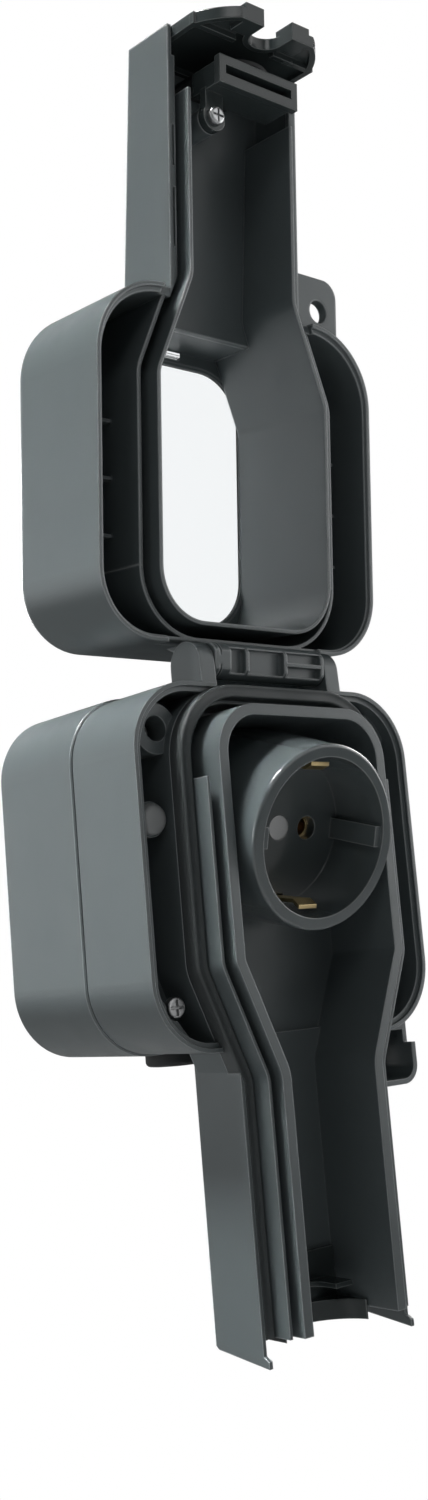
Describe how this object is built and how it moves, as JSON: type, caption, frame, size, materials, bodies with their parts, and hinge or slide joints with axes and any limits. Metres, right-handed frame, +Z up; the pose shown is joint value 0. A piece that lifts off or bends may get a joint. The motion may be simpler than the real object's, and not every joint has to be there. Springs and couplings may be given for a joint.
{
  "type": "outdoor weatherproof socket",
  "caption": "Surface-mounted weatherproof socket box with a tilted round earthed outlet, a keyhole labyrinth seal, a long cord neck and a top-hinged cover with a clear window, cover raised.",
  "frame": {"origin": "wall plane behind the middle of the box, at the centre of the four wall-fixing holes", "axes": "+X to the right seen from the front, +Y into the wall, +Z up; the front faces -Y"},
  "size_m": [0.094, 0.0843, 0.3378],
  "materials": {
    "casing": "satin",
    "outlet": "satin",
    "insulator": "matte",
    "soft_seal": "matte",
    "latch_plastic": "gloss",
    "clear_window": "clear",
    "screw_steel": "zinc",
    "contact_brass": "satin"
  },
  "bodies": {
    "base": {"rear_box": "casing", "box_seal": "soft_seal", "entry_grommets": "soft_seal", "front_housing": "casing", "upper_screws": "screw_steel", "lower_screws": "screw_steel", "side_caps": "casing", "hinge_pin": "screw_steel", "keyhole_seal": "soft_seal", "socket_cover": "outlet", "socket_body": "insulator", "pin_contacts": "contact_brass", "earth_clip": "contact_brass", "centre_screw": "screw_steel", "terminal_screws": "screw_steel", "cable_cradle": "latch_plastic"},
    "cover": {"lid_shell": "casing", "lid_neck": "casing", "lid_ribs": "casing", "window_seal": "soft_seal", "window_pane": "clear_window", "latch_block": "latch_plastic", "latch_screw": "screw_steel", "cable_flap": "soft_seal", "cable_gate": "latch_plastic"}
  },
  "joints": [
    {"name": "cover_hinge", "type": "hinge", "parent": "base", "child": "cover", "pos_m": [0, -0.0552, 0.0505], "axis": [1, 0, 0], "range_deg": [0, 174]}
  ]
}
